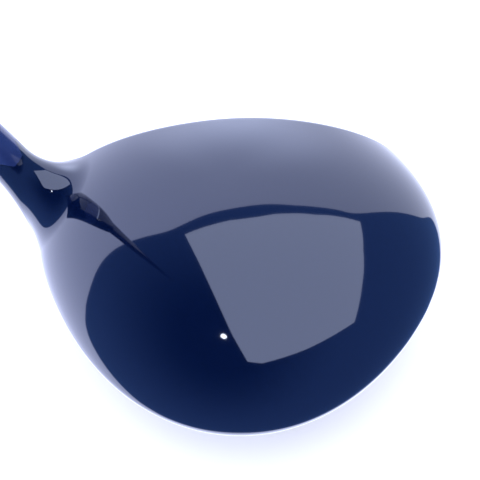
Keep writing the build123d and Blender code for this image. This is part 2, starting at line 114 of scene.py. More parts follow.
# Ports in the sole
REAR_PORT = (-36.0, 62.0)
REAR_PORT_RADIUS = 10.15
FRONT_PORT = (-36.0, 4.0)
FRONT_PORT_RADIUS = 7.15
SCREW_PORT_RADIUS = 4.8
PORT_CUP_MOUTH = 1.6
PORT_CUP_SEAT = 7.6
PORT_CUP_DEPTH = 12.0
PORT_CUP_WALL = 2.4
PORT_SCREW_HOLE_RADIUS = 2.6
PANEL_CORNERS = ((-78, 52), (-86, 26), (-36, 18), (2, 26), (-4, 44), (-36, 70))
PANEL_CORNER_RADIUS = 7.0
PANEL_PORT_REACH = 14.0  # of the sole's paint round the rear port, inside the panel's outline

# Shaft and grip
CLUB_LENGTH = 1155.7
SHAFT_BOTTOM = 51.5
TIP_RADIUS = 4.25
BUTT_RADIUS = 7.62
TIP_PARALLEL_END = 124.0
BUTT_PARALLEL_START = 960.0
SHAFT_TOP = 1150.5
TIP_BORE_RADIUS = 2.1
BUTT_BORE_RADIUS = 6.7
GRIP_MOUTH = 888.0
GRIP_MOUTH_RADIUS = 8.4
GRIP_BUTT_RADIUS = 13.3
GRIP_MOUTH_LIP = 5.0
GRIP_CAP_THICKNESS = 4.5
GRIP_BUTT_LENGTH = 8.0  # of the straight end under the cap
GRIP_GROOVES_FROM_MOUTH = 8.0
GRIP_GROOVES_FROM_TOP = 22.0
GRIP_GROOVE_STEP = 3.0
GRIP_GROOVE_SHAPE = ((0.0, 0.0), (0.3, 0.5), (0.9, 0.5), (1.2, 0.0))  # height and depth
TAPE_THICKNESS = 0.3
MOUTH_CLEARANCE = 0.02

# Camera: close behind and above the head, with a long lens
CAMERA_PLACE = (-38.95, 321.02, 364.07)
CAMERA_FORWARD = (-0.0015, -0.6706, -0.7418)
CAMERA_RIGHT = (-0.99706, 0.05784, -0.05024)
CAMERA_LENS = 108.35

# Stage: linear colours, and directions from the middle of the head
DOME_CENTRE = (-36.0, 35.0, 45.0)
TENT_TOE_LIGHT = (1.22, 1.31, 1.72)
TENT_HEEL_LIGHT = (1.54, 1.66, 2.35)
BACKDROP_LIGHT = (2.5, 2.7, 3.6)
BACKDROP_DIRECTION = (-0.05, -0.93, 0.37)
BACKDROP_EDGE = 0.86  # cosine at which the backdrop's glow ends
BACKDROP_FALLOFF = 4.0
WINDOW_LIGHT = (1.78, 1.93, 2.5)
WINDOW_DISTANCE = 860.0
WINDOW_MIDDLE = (-0.3, 0.1, 0.94)
WINDOW_EDGE = (
    (0.31, -0.38, 0.87), (0.01, -0.48, 0.88), (-0.21, -0.49, 0.84), (-0.42, -0.45, 0.79),
    (-0.66, -0.40, 0.64), (-0.73, -0.20, 0.65), (-0.80, 0.05, 0.60), (-0.82, 0.31, 0.49),
    (-0.5, 0.6, 0.62), (-0.10, 0.76, 0.65), (0.04, 0.74, 0.67), (0.15, 0.50, 0.86),
    (0.23, 0.15, 0.96), (0.28, -0.15, 0.95),
)
FLAG_LIGHT = (0.10, 0.20, 0.52)
FLAG_DARK = (0.005, 0.02, 0.06)
FLAG_DARK_DIRECTION = (0.3, 0.5, 0.75)
FLAG_FADE = (0.25, 1.15)  # metres from the darkest point
FLAG_DISTANCE = 900.0
FLAG_MIDDLE = (-0.05, 0.95, 0.2)
FLAG_EDGE = (
    (0.56, -0.37, 0.74), (0.85, -0.28, 0.44), (0.97, -0.18, 0.14), (0.99, -0.13, -0.10),
    (0.94, -0.07, -0.34), (0.80, 0.15, -0.58), (0.35, 0.35, -0.86), (0.10, 0.45, -0.87),
    (-0.35, 0.10, -0.93), (-0.67, -0.58, -0.46), (-0.83, -0.56, -0.01), (-0.79, -0.52, 0.33),
    (-0.64, -0.46, 0.62), (-0.50, -0.48, 0.72), (-0.31, -0.52, 0.80), (-0.11, -0.56, 0.82),
    (0.08, -0.53, 0.84), (0.36, -0.42, 0.83),
)
LAMP_LIGHT = (1.0, 1.0, 1.0)
LAMP_STRENGTH = 25.0
LAMP_DISTANCE = 840.0
LAMP_DIRECTION = (0.23, 0.51, 0.83)
LAMP_SPREAD = 0.03


# ---------------------------------------------------------------- head surface as distance functions

def unit(vector):
    vector = np.array(vector, dtype=float)
    return vector / np.linalg.norm(vector)


def plan_radius(angle):
    """Radius of the head's plan, joined smoothly through the twelve driving radii."""
    count = len(PLAN_RADII)
    total = np.zeros_like(angle)
    for k, radius in enumerate(PLAN_RADII):
        turn = angle - 2 * pi * k / count
        at_node = np.abs(np.sin(turn / 2)) < 1e-9
        share = np.sin(count * turn / 2) / (count * np.tan(np.where(at_node, 1.0, turn / 2)))
        total += radius * np.where(at_node, 1.0, share)
    return total


def rim_height(x, y):
    return RIM_HEIGHT + RIM_SLOPE_BACK * (y - HEAD_CENTRE[1]) + RIM_SLOPE_HEEL * (x - HEAD_CENTRE[0])


def egg_value(p):
    """Zero on the egg's surface, negative inside."""
    x = p[:, 0] - HEAD_CENTRE[0]
    y = p[:, 1] - HEAD_CENTRE[1]
    rim = rim_height(p[:, 0], p[:, 1])
    reach = np.hypot(x, y) / plan_radius(np.arctan2(y, x))
    above = np.maximum((p[:, 2] - rim) / (CROWN_HEIGHT - rim), 0)
    below = np.maximum((rim - p[:, 2]) / rim, 0)
    crown = reach ** CROWN_SHAPE[0] + above ** CROWN_SHAPE[1] - 1
    sole = reach ** SOLE_SHAPE[0] + below ** SOLE_SHAPE[1] - 1
    return np.where(p[:, 2] > rim, crown, sole)


def slope(function, p, step=0.02):
    """Gradient of a distance function at each point."""
    sides = [(function(p + step * e) - function(p - step * e)) / (2 * step) for e in np.eye(3)]
    return np.stack(sides, axis=-1)


def egg_distance_and_normal(p):
    normal = slope(egg_value, p)
    steepness = np.maximum(np.linalg.norm(normal, axis=-1), 1e-4)
    return egg_value(p) / steepness, normal / steepness[:, None]


def egg_distance(p):
    return egg_distance_and_normal(p)[0]


def face_distance(p):
    """Distance in front of the face's sphere; negative behind it."""
    centre = FACE_CENTRE - FACE_NORMAL * FACE_RADIUS
    return np.linalg.norm(p - centre, axis=-1) - FACE_RADIUS


def face_normal(p):
    from_centre = p - (FACE_CENTRE - FACE_NORMAL * FACE_RADIUS)
    return from_centre / np.linalg.norm(from_centre, axis=-1, keepdims=True)


def rounded_max(a, b, cosine, radius):
    """Inside of both shapes, their edge rounded; cosine is of the angle between their normals."""
    a = a + radius
    b = b + radius
    cosine = np.clip(cosine, -0.95, 0.95)
    at_edge = (a > cosine * b) & (b > cosine * a)
    corner = np.sqrt(np.maximum(a * a + b * b - 2 * cosine * a * b, 0) / (1 - cosine**2))
    return np.where(at_edge, corner, np.maximum(a, b)) - radius


def neck_flare(station):
    """How far the neck stands out towards the heel; the heel's end is a smooth cubic."""
    upper = NECK_FLARE_GAIN * np.maximum(NECK_FLARE_TOP - station, 0) ** NECK_FLARE_POWER
    t = (station - HEEL_END) / HEEL_LENGTH
    lower = HEEL_FLARE[0] * (2 * t**3 - 3 * t**2 + 1) + HEEL_FLARE[1] * (3 * t**2 - 2 * t**3)
    lower += HEEL_LENGTH * HEEL_SLOPE[0] * (t**3 - 2 * t**2 + t)
    lower += HEEL_LENGTH * HEEL_SLOPE[1] * (t**3 - t**2)
    return np.where(station > HEEL_END + HEEL_LENGTH, upper, lower)


def neck_distance(p):
    station = p @ AXIS
    flare = neck_flare(np.clip(station, HEEL_END - 3.0, NECK_ROD_TOP + 4.0))
    turn = radians(NECK_FLARE_TURN)
    u = p @ BEHIND - NECK_FLARE_SHIFT * flare * cos(turn)
    v = p @ ACROSS - NECK_FLARE_SHIFT * flare * sin(turn)
    side = np.hypot(u, v) - (HOSEL_RADIUS + (1 - NECK_FLARE_SHIFT) * flare)
    return rounded_max(side, HEEL_END - station, 0.0, HEEL_END_EDGE)


def head_distance(p):
    """Distance from the finished head: egg cut by the face, with the neck blended on."""
    egg, egg_normal = egg_distance_and_normal(p)
    edge_cosine = (egg_normal * face_normal(p)).sum(-1)
    shell = rounded_max(egg, face_distance(p), edge_cosine, FACE_EDGE_RADIUS)
    neck_normal = slope(neck_distance, p)
    neck_normal /= np.maximum(np.linalg.norm(neck_normal, axis=-1, keepdims=True), 1e-4)
    seam_cosine = (egg_normal * neck_normal).sum(-1)
    return -rounded_max(-shell, -neck_distance(p), seam_cosine, NECK_BLEND_RADIUS)


def port_frame(port):
    """Point on the sole at a port and the inward direction there."""
    x, y = port
    low, high = -5.0, 15.0
    for _ in range(40):
        middle = (low + high) / 2
        inside = egg_value(np.array([[x, y, middle]]))[0] < 0
        low, high = (low, middle) if inside else (middle, high)
    point = np.array([x, y, high])
    inward = -slope(egg_value, point[None])[0]
    return point, inward / np.linalg.norm(inward)


def reach_from_axis(p, point, direction):
    offset = p - point
    along = offset @ direction
    return np.linalg.norm(offset - along[:, None] * direction, axis=-1)


# ---------------------------------------------------------------- mesh helpers

def activate(piece):
    bpy.ops.object.select_all(action="DESELECT")
    piece.select_set(True)
    bpy.context.view_layer.objects.active = piece


def apply_modifier(piece, kind, **settings):
    activate(piece)
    modifier = piece.modifiers.new(kind.title(), kind)
    for name, value in settings.items():
        setattr(modifier, name, value)
    bpy.ops.object.modifier_apply(modifier=modifier.name)


def read_points(piece):
    """Vertex positions in millimetres."""
    points = np.empty(len(piece.data.vertices) * 3)
    piece.data.vertices.foreach_get("co", points)
    return points.reshape(-1, 3) / MM


def write_points(piece, points):
    piece.data.vertices.foreach_set("co", (points * MM).ravel())
    piece.data.update()


def turned(name, profile, place, sides=64, closed=False):
    """Lathe piece: a ring extruded and scaled through (height, radius) steps, then put in place."""
    height, radius = profile[0]
    bpy.ops.mesh.primitive_circle_add(vertices=sides, radius=radius * MM, location=(0, 0, height * MM))
    piece = bpy.context.object
    piece.name = name
    bpy.ops.object.transform_apply()
    bpy.ops.object.mode_set(mode="EDIT")
    bpy.ops.mesh.select_mode(type="VERT")
    bpy.ops.mesh.select_all(action="SELECT")
    if not closed:
        bpy.ops.mesh.edge_face_add()
        bpy.ops.mesh.select_all(action="SELECT")
    steps = profile[1:] + ([profile[0]] if closed else [])
    for next_height, next_radius in steps:
        rise = (0, 0, (next_height - height) * MM)
        bpy.ops.mesh.extrude_region_move(TRANSFORM_OT_translate={"value": rise})
        share = next_radius / radius
        bpy.ops.transform.resize(value=(share, share, 1), center_override=(0, 0, next_height * MM))
        height, radius = next_height, next_radius
    bpy.ops.mesh.select_all(action="SELECT")
    bpy.ops.mesh.remove_doubles(threshold=1e-6)
    bpy.ops.mesh.normals_make_consistent(inside=False)
    bpy.ops.object.mode_set(mode="OBJECT")
    piece.data.transform(place)
    bpy.ops.object.shade_smooth_by_angle(angle=radians(35))
    return piece


def place_along(origin, direction, across=(0.0, 1.0, 0.0)):
    """Matrix that stands a piece's z axis along a direction, from an origin in millimetres."""
    z = Vector(direction).normalized()
    x = Vector(across)
    x = (x - z * x.dot(z)).normalized()
    y = z.cross(x)
    turn = Matrix((x, y, z)).transposed().to_4x4()
    return Matrix.Translation(Vector(origin) * MM) @ turn


ON_SHAFT = place_along((0, 0, 0), AXIS)


# ---------------------------------------------------------------- materials

def srgb(code):
    """Linear colour from an sRGB hex code."""
    values = [int(code[k:k + 2], 16) / 255 for k in (1, 3, 5)]
    linear = [v / 12.92 if v <= 0.04045 else ((v + 0.055) / 1.055) ** 2.4 for v in values]
    return (*linear, 1.0)


def add_node(owner, kind, settings=None, inputs=None, stops=()):
    """Add a node with its settings, inputs and colour stops.

    An input that is a node, or a pair of a node and its output, is linked; any other is set.
    """
    tree = owner.node_tree
    node = tree.nodes.new(kind)
    for name, value in (settings or {}).items():
        setattr(node, name, value)
    for name, value in (inputs or {}).items():
        if isinstance(value, bpy.types.Node):
            value = (value, 0)
        if isinstance(value, tuple) and isinstance(value[0], bpy.types.Node):
            tree.links.new(value[0].outputs[value[1]], node.inputs[name])
        else:
            node.inputs[name].default_value = value
    for k, (position, colour) in enumerate(stops):
        node.color_ramp.elements[k].position = position
        node.color_ramp.elements[k].color = colour
    return node


def link(owner, source, output, target, socket):
    owner.node_tree.links.new(source.outputs[output], target.inputs[socket])


def new_material(name, **shader_values):
    """Material with one Principled shader; returns it, its shader and its object coordinates."""
    material = bpy.data.materials.new(name)
    material.use_nodes = True
    shader = material.node_tree.nodes["Principled BSDF"]
    for socket, value in shader_values.items():
        shader.inputs[socket.replace("_", " ")].default_value = value
    place = add_node(material, "ShaderNodeTexCoord")
    return material, shader, (place, "Object")


def two_toned(material, shader, place, tones, size_mm, detail, stretch=(1, 1, 1), start=0.3):
    """Let the colour wander between two tones, in patches about size_mm across; returns the patches."""
    scaled = add_node(material, "ShaderNodeMapping", {}, {"Vector": place, "Scale": stretch})
    values = {"Vector": scaled, "Scale": 1 / (size_mm * MM), "Detail": detail}
    patches = add_node(material, "ShaderNodeTexNoise", {}, values)
    stops = [(start, srgb(tones[0])), (0.7, srgb(tones[1]))]
    tone = add_node(material, "ShaderNodeValToRGB", {}, {"Fac": (patches, "Fac")}, stops)
    link(material, tone, "Color", shader, "Base Color")
    return patches


def navy_lacquer():
    """Deep navy pearl base coat under a thick clear lacquer: near black, mirror bright at grazing angles."""
    material, shader, place = new_material(
        "navy pearl lacquer",
        Roughness=0.06,
        IOR=1.7,
        Specular_IOR_Level=0.36,
        Specular_Tint=(0.64, 0.75, 1.0, 1.0),
        Coat_Weight=1.0,
        Coat_Roughness=0.015,
        Coat_IOR=1.5,
    )
    two_toned(material, shader, place, ("#020922", "#040f2b"), 0.35, 1.0, start=0.35)  # pearl flakes
    values = {"Vector": place, "Scale": 1 / (9.0 * MM), "Detail": 0.0}
    peel = add_node(material, "ShaderNodeTexNoise", {}, values)
    values = {"Height": (peel, "Fac"), "Distance": 0.02 * MM, "Strength": 0.5}
    link(material, add_node(material, "ShaderNodeBump", {}, values), "Normal", shader, "Normal")
    return material


def satin_paint(name, dark, light, roughness=0.38):
    """Sprayed satin paint over a casting, with a faint orange peel."""
    material, shader, place = new_material(name, Roughness=roughness, Coat_Weight=0.35, Coat_Roughness=0.2)
    two_toned(material, shader, place, (dark, light), 1.6, 3.0)
    values = {"Vector": place, "Scale": 1 / (0.6 * MM), "Detail": 2.0}
    peel = add_node(material, "ShaderNodeTexNoise", {}, values)
    values = {"Height": (peel, "Fac"), "Distance": 0.03 * MM, "Strength": 0.35}
    link(material, add_node(material, "ShaderNodeBump", {}, values), "Normal", shader, "Normal")
    return material


def brushed_metal(name, dark, light, roughness=0.32, grain_mm=0.25, stretch=(0.04, 1, 1)):
    """Metal brushed along one direction: fine streaks in brightness and height."""
    material, shader, place = new_material(name, Metallic=1.0, Roughness=roughness)
    streaks = two_toned(material, shader, place, (dark, light), grain_mm, 4.0, stretch)
    values = {"Height": (streaks, "Fac"), "Distance": 0.01 * MM, "Strength": 0.5}
    link(material, add_node(material, "ShaderNodeBump", {}, values), "Normal", shader, "Normal")
    return material


def moulded_rubber(name, dark, light, roughness=0.72):
    """Moulded rubber: soft, with a fine grainy skin."""
    material, shader, place = new_material(name, Roughness=roughness)
    grain = two_toned(material, shader, place, (dark, light), 0.5, 4.0)
    values = {"Height": (grain, "Fac"), "Distance": 0.05 * MM, "Strength": 0.6}
    link(material, add_node(material, "ShaderNodeBump", {}, values), "Normal", shader, "Normal")
    return material


def carbon_panel():
    """Two-by-two twill of carbon tows, 2 mm wide, under a clear coat."""
    material, shader, place = new_material(
        "clear coated carbon twill",
        Roughness=0.35,
        Coat_Weight=1.0,
        Coat_Roughness=0.04,
    )
    tow_width = 2.0 * MM
    tows = []
    for direction in ((1, 0, 0), (0, 1, 0)):
        values = {0: place, 1: direction}
        distance = add_node(material, "ShaderNodeVectorMath", {"operation": "DOT_PRODUCT"}, values)
        values = {0: (distance, "Value"), 1: tow_width}
        widths = add_node(material, "ShaderNodeMath", {"operation": "DIVIDE"}, values)
        tows.append(add_node(material, "ShaderNodeMath", {"operation": "FLOOR"}, {0: widths}))
    diagonal = add_node(material, "ShaderNodeMath", {"operation": "ADD"}, {0: tows[0], 1: tows[1]})
    step = add_node(material, "ShaderNodeMath", {"operation": "FLOORED_MODULO"}, {0: diagonal, 1: 4.0})
    warp = add_node(material, "ShaderNodeMath", {"operation": "LESS_THAN"}, {0: step, 1: 1.5})
    stops = [(0.0, srgb("#0d1016")), (1.0, srgb("#23272f"))]
    tone = add_node(material, "ShaderNodeValToRGB", {}, {"Fac": warp}, stops)
    link(material, tone, "Color", shader, "Base Color")
    return material


def patterned_rubber():
    """Grip rubber with moulded diamonds: two sets of helical grooves around the shaft's axis."""
    diamonds_round = 14.0
    diamond_height = 5.0 * MM
    material, shader, place = new_material("diamond moulded grip rubber", Roughness=0.68)
    grain = two_toned(material, shader, place, ("#0d0d0f", "#1a1a1d"), 0.5, 4.0)
    ways = []
    for direction in (ACROSS, BEHIND, AXIS):
        values = {0: place, 1: tuple(direction)}
        distance = add_node(material, "ShaderNodeVectorMath", {"operation": "DOT_PRODUCT"}, values)
        ways.append((distance, "Value"))
    across, behind, up = ways
    angle = add_node(material, "ShaderNodeMath", {"operation": "ARCTAN2"}, {0: across, 1: behind})
    turns = add_node(material, "ShaderNodeMath", {"operation": "MULTIPLY"}, {0: angle, 1: diamonds_round})
    values = {0: up, 1: 2 * pi / diamond_height}
    steps = add_node(material, "ShaderNodeMath", {"operation": "MULTIPLY"}, values)
    ridges = []
    for operation in ("ADD", "SUBTRACT"):
        phase = add_node(material, "ShaderNodeMath", {"operation": operation}, {0: turns, 1: steps})
        wave = add_node(material, "ShaderNodeMath", {"operation": "SINE"}, {0: phase})
        ridges.append(add_node(material, "ShaderNodeMath", {"operation": "MINIMUM"}, {0: wave, 1: -0.45}))
    diamonds = add_node(material, "ShaderNodeMath", {"operation": "MINIMUM"}, {0: ridges[0], 1: ridges[1]})
    values = {0: (grain, "Fac"), 1: 0.15}
    roughening = add_node(material, "ShaderNodeMath", {"operation": "MULTIPLY"}, values)
    height = add_node(material, "ShaderNodeMath", {"operation": "ADD"}, {0: diamonds, 1: roughening})
    values = {"Height": height, "Distance": 0.7 * MM, "Strength": 1.0}
    link(material, add_node(material, "ShaderNodeBump", {}, values), "Normal", shader, "Normal")
    return material


def anodised_sleeve():
    """Navy anodised aluminium under a clear seal: glossy, with faint turning lines."""
    material, shader, place = new_material(
        "sealed navy anodised aluminium",
        Roughness=0.25,
        Metallic=0.35,
        Coat_Weight=1.0,
        Coat_Roughness=0.03,
    )
    two_toned(material, shader, place, ("#202f5c", "#2a3a6a"), 0.2, 3.0, (1, 0.2, 1))
    return material


LACQUER = navy_lacquer()
SOLE_PAINT = satin_paint("satin black sole paint", "#0b0d13", "#131722")
FRAME_PAINT = satin_paint("satin black face surround", "#0d0f14", "#15181f", 0.32)
CAST_METAL = brushed_metal("as-cast titanium", "#55585c", "#6b6e72", 0.5, 0.6, (1, 1, 1))
FACE_METAL = brushed_metal("blasted forged titanium", "#5c5f64", "#74777c", 0.42, 0.3, (1, 0.12, 0.12))
SOLE_PANEL = carbon_panel()
WEIGHT_STEEL = brushed_metal("turned tungsten steel", "#77797c", "#96989c", 0.28)
SCREW_STEEL = brushed_metal("black oxide steel", "#1b1c1f", "#2c2d31", 0.34)
SLEEVE_METAL = anodised_sleeve()
BRIGHT_EDGE = brushed_metal("polished aluminium edge", "#b9bfcc", "#d6dae2", 0.15)
FERRULE_PLASTIC = satin_paint("polished black cellulose", "#050506", "#0b0b0d", 0.08)
SHAFT_PAINT = satin_paint("clear coated graphite", "#0b0f1a", "#151b2b", 0.12)
GRIP_RUBBER = patterned_rubber()
PLAIN_RUBBER = moulded_rubber("black moulded rubber", "#0d0d0f", "#18181b")
TAPE_PAPER = satin_paint("crepe masking tape", "#b8a989", "#cabd9f", 0.8)
BRASS = brushed_metal("turned brass", "#9c7a35", "#b89448", 0.3)


# ---------------------------------------------------------------- head skins

def settle_on_head(points, free, rounds):
    """Move free points onto the head's exact surface."""
    for _ in range(rounds):
        moving = points[free]
        distance = head_distance(moving)
        gradient = slope(head_distance, moving)
        steep = np.maximum((gradient**2).sum(-1), 0.05)
        step = np.clip(distance / steep, -1.5, 1.5)
        points[free] = moving - gradient * step[:, None]
    return points


def rough_head():
    """Cube rounded into the egg, joined with a rod for the neck and remeshed into even quads."""
    bpy.ops.mesh.primitive_cube_add(size=2)
    egg = bpy.context.object
    bpy.ops.object.mode_set(mode="EDIT")
    bpy.ops.mesh.subdivide(number_cuts=47)
    bpy.ops.object.mode_set(mode="OBJECT")
    points = read_points(egg) * MM
    points /= np.linalg.norm(points, axis=-1, keepdims=True)
    angle = np.arctan2(points[:, 1], points[:, 0])
    lift = np.arcsin(np.clip(points[:, 2], -1, 1))
    radius = plan_radius(angle) * np.cos(lift)
    x = HEAD_CENTRE[0] + radius * np.cos(angle)
    y = np.maximum(HEAD_CENTRE[1] + radius * np.sin(angle), FACE_CENTRE[1])
    rim = rim_height(x, y)
    z = np.where(lift > 0, rim + (CROWN_HEIGHT - rim) * np.sin(lift), rim * (1 + np.sin(lift)))
    write_points(egg, np.stack([x, y, z], -1))
    ends = [(HEEL_END + 1, NECK_ROD_RADIUS), (NECK_ROD_TOP, NECK_ROD_RADIUS)]
    turned("rod", ends, ON_SHAFT, 32)
    egg.select_set(True)
    bpy.context.view_layer.objects.active = egg
    bpy.ops.object.join()
    apply_modifier(egg, "REMESH", mode="VOXEL", voxel_size=VOXEL_SIZE * MM)
    return egg


def exact_head():
    """Even quad mesh lying on the head's surface, relaxed so that its gloss is clean."""
    head = rough_head()
    points = read_points(head)
    free = points @ AXIS < NECK_SETTLED_TOP
    points = settle_on_head(points, free, 5)
    for _ in range(3):
        write_points(head, points)
        apply_modifier(head, "SMOOTH", factor=0.5, iterations=4)
        points = settle_on_head(read_points(head), free, 2)
    write_points(head, points)
    return head


def face_centres(piece):
    centres = np.empty(len(piece.data.polygons) * 3)
    piece.data.polygons.foreach_get("center", centres)
    return centres.reshape(-1, 3) / MM


def share_out(piece, regions):
    """Index of each face's region, or -1 in an opening."""
    values = np.stack([region(face_centres(piece)) for region in regions])
    return np.where(values.max(0) > 0, values.argmax(0), -1)


def vertices_of(piece, faces):
    """Mask of the vertices on a mask of faces."""
    corner = np.empty(len(piece.data.loops), dtype=np.int32)
    piece.data.loops.foreach_get("vertex_index", corner)
    sides = np.empty(len(piece.data.polygons), dtype=np.int32)
    piece.data.polygons.foreach_get("loop_total", sides)
    mask = np.zeros(len(piece.data.vertices), dtype=bool)
    mask[corner[np.repeat(faces, sides)]] = True
    return mask


def draw_borders(piece, regions, owner):
    """Slide the vertices between regions onto the regions' exact borders, staying on the head."""
    points = read_points(piece)
    start = points.copy()
    borders = []
    for index, region in enumerate(regions):
        border = vertices_of(piece, owner == index) & vertices_of(piece, owner != index)
        borders.append(border & (np.abs(region(points)) < BORDER_BAND))
    for _ in range(6):
        for region, border in zip(regions, borders):
            edge = points[border]
            gradient = slope(region, edge)
            step = np.clip(region(edge) / np.maximum((gradient**2).sum(-1), 0.2), -0.8, 0.8)
            points[border] = edge - gradient * step[:, None]
        points = settle_on_head(points, np.any(borders, axis=0), 1)
    strayed = np.linalg.norm(points - start, axis=-1) > BORDER_STRAY
    points[strayed] = start[strayed]
    write_points(piece, points)


def keep_faces(piece, kept):
    """Delete every other face, and merge the vertices that the borders brought together."""
    activate(piece)
    bpy.ops.object.mode_set(mode="EDIT")
    bpy.ops.mesh.select_mode(type="FACE")
    bpy.ops.mesh.select_all(action="DESELECT")
    bpy.ops.object.mode_set(mode="OBJECT")
    piece.data.polygons.foreach_set("select", ~kept)
    bpy.ops.object.mode_set(mode="EDIT")
    bpy.ops.mesh.delete(type="FACE")
    bpy.ops.mesh.select_all(action="SELECT")
    bpy.ops.mesh.remove_doubles(threshold=MERGE_DISTANCE * MM)
    bpy.ops.mesh.delete_loose()
    bpy.ops.object.mode_set(mode="OBJECT")


def thicken(piece, wall):
    """Give a skin its wall, with the inner side straight behind the outer one."""
    outer = read_points(piece)
    count = len(outer)
    gradient = slope(head_distance, outer)
    gradient /= np.maximum(np.linalg.norm(gradient, axis=-1, keepdims=True), 1e-6)
    apply_modifier(piece, "SOLIDIFY", thickness=wall * MM, offset=-1.0, use_even_offset=False)
    points = read_points(piece)
    points[:count] = outer
    points[count:2 * count] = outer - wall * gradient
    write_points(piece, points)


def polish_normals(piece):
    """Give each corner on the outer or inner face the exact normal of the head's surface."""
    mesh = piece.data
    activate(piece)
    bpy.ops.object.shade_smooth()
    points = read_points(piece)
    gradient = slope(head_distance, points)
    gradient /= np.maximum(np.linalg.norm(gradient, axis=-1, keepdims=True), 1e-6)
    corner = np.empty(len(mesh.loops), dtype=np.int32)
    mesh.loops.foreach_get("vertex_index", corner)
    flat = np.empty(len(mesh.polygons) * 3)
    mesh.polygons.foreach_get("normal", flat)
    sides = np.empty(len(mesh.polygons), dtype=np.int32)
    mesh.polygons.foreach_get("loop_total", sides)
    flat = np.repeat(flat.reshape(-1, 3), sides, axis=0)
    exact = gradient[corner]
    facing = (exact * flat).sum(-1)
    normals = np.where(facing[:, None] > 0.8, exact, np.where(facing[:, None] < -0.8, -exact, flat))
    mesh.normals_split_custom_set([tuple(n) for n in normals])


def above_rim(p):
    return p[:, 2] - rim_height(p[:, 0], p[:, 1])


def axis_reach(p):
    return reach_from_axis(p, np.zeros(3), AXIS)


def crown_region(p):
    """Positive on the crown piece: above the rim, behind the topline and clear of the hosel."""
    behind = -face_distance(p) - CROWN_FRONT_DEPTH
    clear = axis_reach(p) - CROWN_HOSEL_CLEARANCE
    return np.minimum(np.minimum(above_rim(p) - CROWN_EDGE_LIFT, behind), clear)


def front_region(p):
    """Positive on the face side of the rounded edge around the face."""
    return face_distance(p) - egg_distance(p)


def slot_distance(p):
    """Distance outside the face insert's rounded outline, seen along the face's normal."""
    up = np.cross(FACE_NORMAL, [1.0, 0.0, 0.0])
    across = p[:, 0] - FACE_CENTRE[0]
    height = (p - FACE_CENTRE) @ up
    half_width, half_height = FACE_INSERT_SIZE[0] / 2, FACE_INSERT_SIZE[1] / 2
    reach = np.maximum(np.abs(across) - (half_width - half_height), 0)
    return np.hypot(reach, height) - half_height


def clear_of_slot(p):
    """Positive outside the face insert's slot; the slot only reaches the front of the head."""
    return np.where(face_distance(p) > -FACE_EDGE_RADIUS, slot_distance(p), FACE_RADIUS)


def face_frame_region(p):
    return np.minimum(front_region(p), slot_distance(p))


def skirt_region(p):
    """Lacquered band of the body: neck, topline and skirt."""
    below_top = RIM_BOTTOM - p @ AXIS
    body = np.minimum(np.minimum(-crown_region(p), -front_region(p)), clear_of_slot(p))
    return np.minimum(np.minimum(body, above_rim(p) + PAINT_EDGE_DROP), below_top)


def panel_distance(p):
    """Distance outside the sole panel's rounded outline, in plan."""
    corners = np.array(PANEL_CORNERS, dtype=float)
    middle = corners.mean(axis=0)
    sides = []
    for start, end in zip(corners, np.roll(corners, -1, axis=0)):
        along = unit(end - start)
        outward = np.array([-along[1], along[0]])
        if (start - middle) @ outward < 0:
            outward = -outward
        sides.append((p[:, :2] - start) @ outward + PANEL_CORNER_RADIUS)
    beyond = np.sqrt(sum(np.maximum(side, 0) ** 2 for side in sides))
    inside = np.minimum(np.max(sides, axis=0), 0)
    outline = beyond + inside - PANEL_CORNER_RADIUS
    point, inward = port_frame(REAR_PORT)
    return np.maximum(outline, PANEL_PORT_REACH - reach_from_axis(p, point, inward))


def sole_region(p):
    """Painted sole of the body, open at the panel, the two weight ports and the screw port."""
    keep = np.minimum(-above_rim(p) - PAINT_EDGE_DROP, -front_region(p))
    keep = np.minimum(np.minimum(keep, panel_distance(p)), clear_of_slot(p))
    for port, radius in ((REAR_PORT, REAR_PORT_RADIUS), (FRONT_PORT, FRONT_PORT_RADIUS)):
        point, inward = port_frame(port)
        keep = np.minimum(keep, reach_from_axis(p, point, inward) - radius)
    return np.minimum(keep, axis_reach(p) - SCREW_PORT_RADIUS)


def head_skins():
    """Crown piece and the body's three painted regions, all cut from one exact surface."""
    whole = exact_head()
    finishes = (
        ("crown_skin", crown_region, LACQUER),
        ("skirt_skin", skirt_region, LACQUER),
        ("sole_skin", sole_region, SOLE_PAINT),
        ("face_frame", face_frame_region, FRAME_PAINT),
    )
    regions = [region for _, region, _ in finishes]
    owner = share_out(whole, regions)
    draw_borders(whole, regions, owner)
    skins = {}
    for index, (name, _, material) in enumerate(finishes):
        activate(whole)
        bpy.ops.object.duplicate()
        skin = bpy.context.object
        skin.name = name
        keep_faces(skin, owner == index)
        thicken(skin, SKIN_WALL)
        skin.data.materials.append(material)
        skins[name] = skin
    bpy.data.objects.remove(whole)
    for skin in skins.values():
        polish_normals(skin)
    return skins


def port_cup(name, port, radius):
    """Blind cup inside the head behind a weight, with a hole for its screw."""
    point, inward = port_frame(port)
    wide, hole = radius + PORT_CUP_WALL, PORT_SCREW_HOLE_RADIUS
    profile = [(PORT_CUP_MOUTH, radius), (PORT_CUP_SEAT, radius), (PORT_CUP_SEAT, hole)]
    profile += [(PORT_CUP_DEPTH, hole), (PORT_CUP_DEPTH, wide), (PORT_CUP_MOUTH, wide)]
    cup = turned(name, profile, place_along(point, inward), 64, closed=True)
    cup.data.materials.append(CAST_METAL)
    return cup


